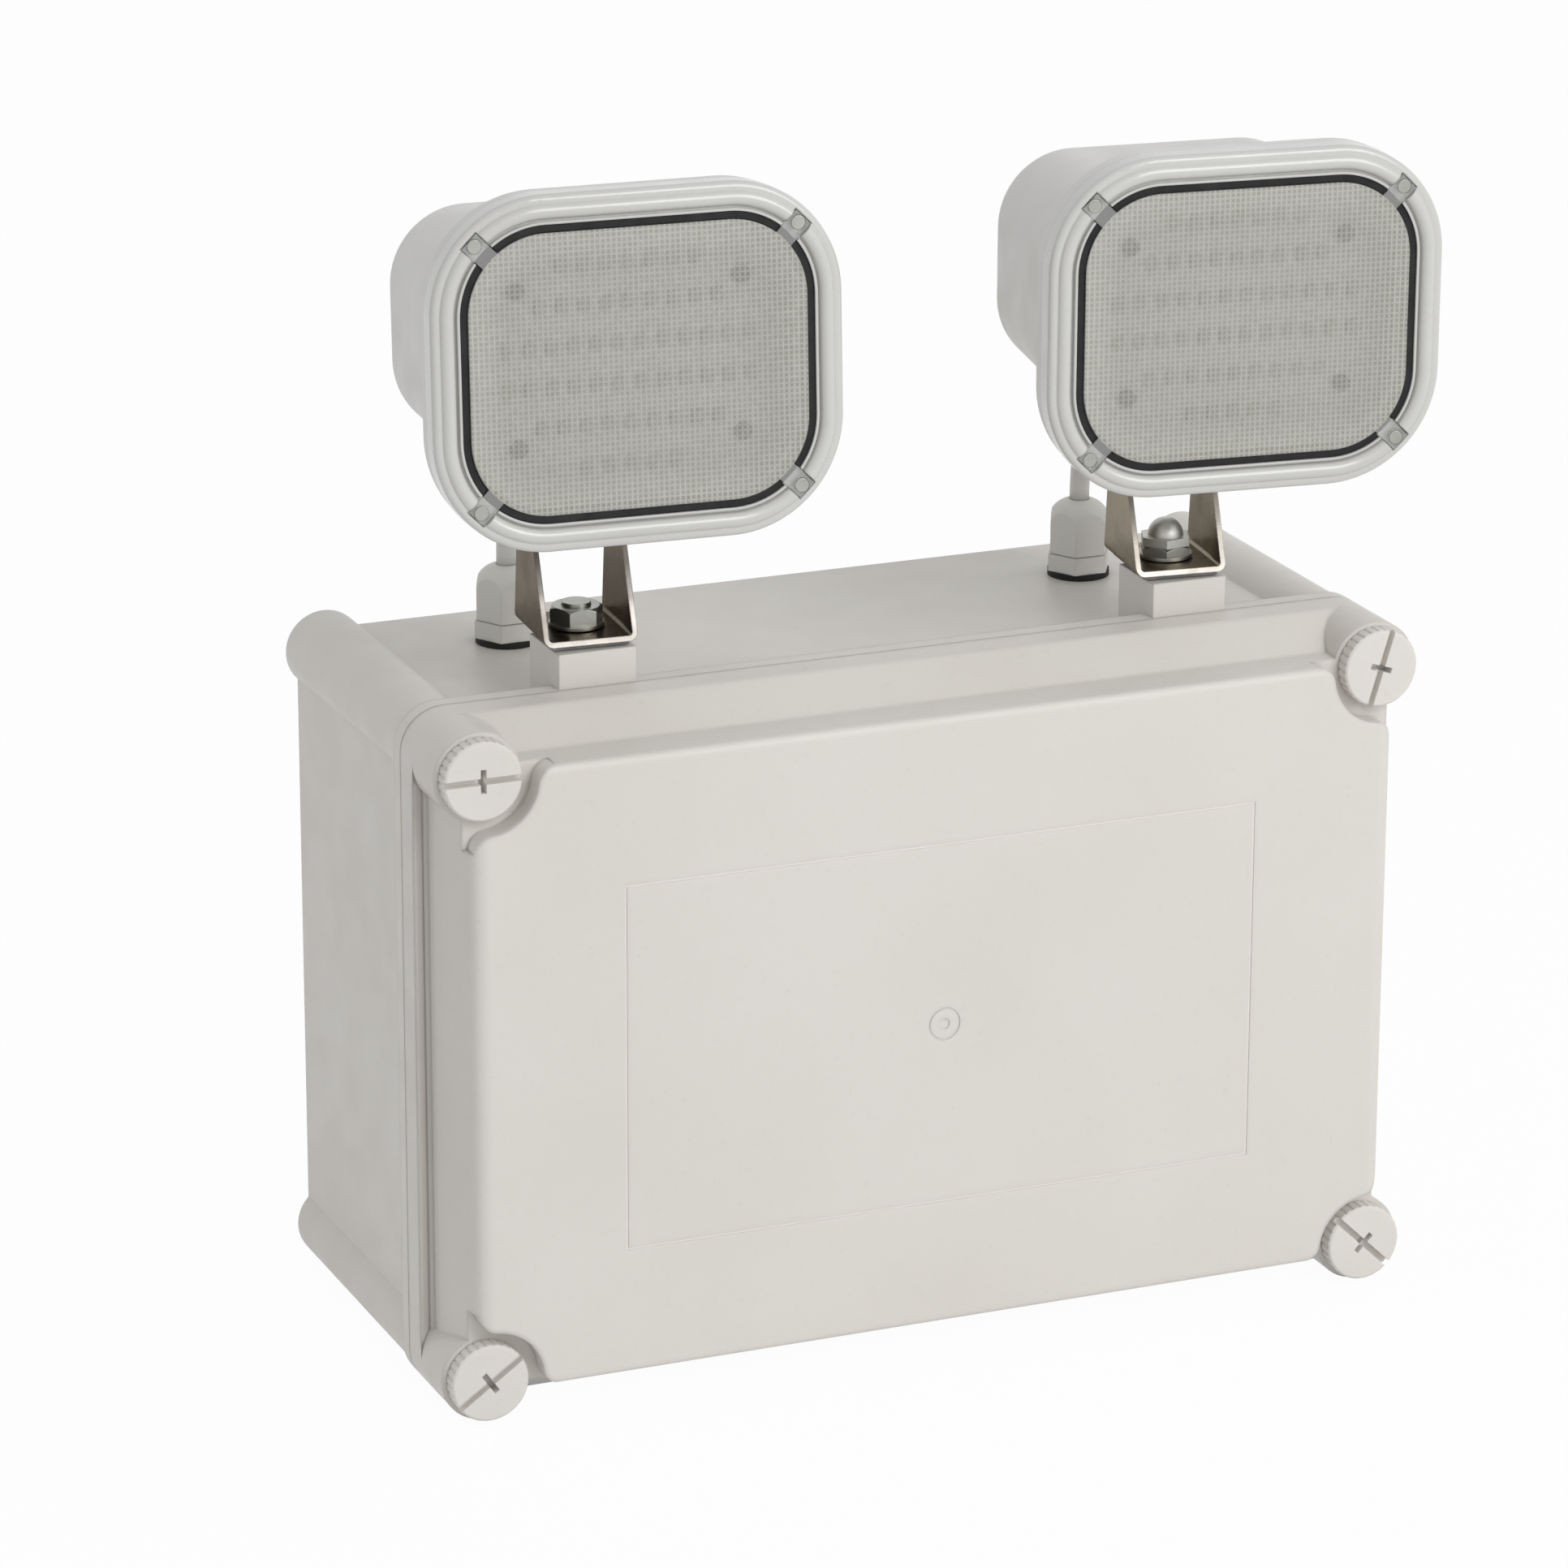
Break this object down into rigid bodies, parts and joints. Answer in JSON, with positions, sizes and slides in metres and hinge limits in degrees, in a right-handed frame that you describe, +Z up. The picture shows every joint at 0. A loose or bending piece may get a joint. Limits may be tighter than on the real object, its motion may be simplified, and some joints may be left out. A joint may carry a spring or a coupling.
{
  "type": "twin head emergency light",
  "caption": "Weatherproof wall-mounted emergency light: a moulded battery enclosure with a screwed lid and two lamp heads on swivelling steel yokes.",
  "frame": {"origin": "centre of the rear face of the enclosure, which meets the wall", "axes": "+X to the right as seen from the front, +Y back into the wall, +Z up"},
  "size_m": [0.2936, 0.1509, 0.3428],
  "materials": {
    "enclosure_plastic": "fine moulded texture, satin",
    "head_plastic": "smooth satin",
    "bezel_plastic": "glossy",
    "black_rubber": "matt",
    "clear_lens": "clear with a fine prism pattern",
    "stainless": "bright",
    "zinc": "zinc plated",
    "gland_plastic": "satin",
    "lead_sheath": "satin",
    "battery_plastic": "satin",
    "board_green": "solder resist",
    "board_white": "solder resist",
    "chip_yellow": "phosphor",
    "component_mix": "moulded",
    "terminal_plastic": "satin",
    "button_plastic": "smooth",
    "indicator_plastic": "clear"
  },
  "bodies": {
    "enclosure": {"enclosure_base": "enclosure_plastic", "lid_gasket": "black_rubber", "gear_tray": "zinc", "gear_screws": "zinc", "battery": "battery_plastic", "battery_strap": "zinc", "control_board": "board_green", "board_components": "component_mix", "mains_terminal": "terminal_plastic", "output_terminals": "terminal_plastic", "status_indicator": "indicator_plastic", "left_pan_bolt": "zinc", "left_pan_washer": "zinc", "left_pan_nut": "zinc", "left_gland_washer": "black_rubber", "left_gland_body": "gland_plastic", "left_gland_cap": "gland_plastic", "left_gland_locknut": "gland_plastic", "left_lead": "lead_sheath", "right_pan_bolt": "zinc", "right_pan_washer": "zinc", "right_pan_nut": "zinc", "right_cap_nut": "zinc", "right_gland_washer": "black_rubber", "right_gland_body": "gland_plastic", "right_gland_cap": "gland_plastic", "right_gland_locknut": "gland_plastic", "right_lead": "lead_sheath"},
    "lid": {"lid": "enclosure_plastic"},
    "top_left_lid_screw_body": {"top_left_lid_screw": "enclosure_plastic"},
    "top_right_lid_screw_body": {"top_right_lid_screw": "enclosure_plastic"},
    "bottom_left_lid_screw_body": {"bottom_left_lid_screw": "enclosure_plastic"},
    "bottom_right_lid_screw_body": {"bottom_right_lid_screw": "enclosure_plastic"},
    "test_button_body": {"test_button": "button_plastic"},
    "left_yoke_body": {"left_yoke": "stainless", "left_yoke_pad": "black_rubber", "left_tilt_bolt": "zinc", "left_tilt_nut": "zinc"},
    "left_head_body": {"left_head_housing": "head_plastic", "left_bezel": "bezel_plastic", "left_lens_gasket": "black_rubber", "left_lens": "clear_lens", "left_lens_screws": "zinc", "left_led_board": "board_white", "left_led_chips": "chip_yellow", "left_board_screws": "zinc", "left_grommet": "black_rubber"},
    "right_yoke_body": {"right_yoke": "stainless", "right_yoke_pad": "black_rubber", "right_tilt_bolt": "zinc", "right_tilt_nut": "zinc"},
    "right_head_body": {"right_head_housing": "head_plastic", "right_bezel": "bezel_plastic", "right_lens_gasket": "black_rubber", "right_lens": "clear_lens", "right_lens_screws": "zinc", "right_led_board": "board_white", "right_led_chips": "chip_yellow", "right_board_screws": "zinc", "right_grommet": "black_rubber"}
  },
  "joints": [
    {"name": "lid_off", "type": "slide", "parent": "enclosure", "child": "lid", "axis": [0, -1, 0], "range_m": [0, 0.06]},
    {"name": "top_left_lid_screw_turn", "type": "hinge", "parent": "lid", "child": "top_left_lid_screw_body", "pos_m": [-0.133, -0.1244, 0.086], "axis": [0, -1, 0], "continuous": true},
    {"name": "top_right_lid_screw_turn", "type": "hinge", "parent": "lid", "child": "top_right_lid_screw_body", "pos_m": [0.133, -0.1244, 0.086], "axis": [0, -1, 0], "continuous": true},
    {"name": "bottom_left_lid_screw_turn", "type": "hinge", "parent": "lid", "child": "bottom_left_lid_screw_body", "pos_m": [-0.133, -0.1244, -0.086], "axis": [0, -1, 0], "continuous": true},
    {"name": "bottom_right_lid_screw_turn", "type": "hinge", "parent": "lid", "child": "bottom_right_lid_screw_body", "pos_m": [0.133, -0.1244, -0.086], "axis": [0, -1, 0], "continuous": true},
    {"name": "test_button_press", "type": "slide", "parent": "enclosure", "child": "test_button_body", "axis": [0, 0, 1], "range_m": [0, 0.002], "stiffness_N_per_m": 400, "springref_m": -0.001},
    {"name": "left_pan", "type": "hinge", "parent": "enclosure", "child": "left_yoke_body", "pos_m": [-0.0885, -0.082, 0.1081], "axis": [0, 0, 1], "range_deg": [-45, 45], "deforming": ["left_lead"]},
    {"name": "left_tilt", "type": "hinge", "parent": "left_yoke_body", "child": "left_head_body", "pos_m": [-0.08815, -0.07701, 0.1411], "axis": [0.9976, -0.0698, 0], "range_deg": [-30, 35]},
    {"name": "right_pan", "type": "hinge", "parent": "enclosure", "child": "right_yoke_body", "pos_m": [0.0885, -0.082, 0.1081], "axis": [0, 0, 1], "range_deg": [-45, 45], "deforming": ["right_lead"]},
    {"name": "right_tilt", "type": "hinge", "parent": "right_yoke_body", "child": "right_head_body", "pos_m": [0.08908, -0.07703, 0.1411], "axis": [0.9934, -0.1149, 0], "range_deg": [-30, 35]}
  ]
}
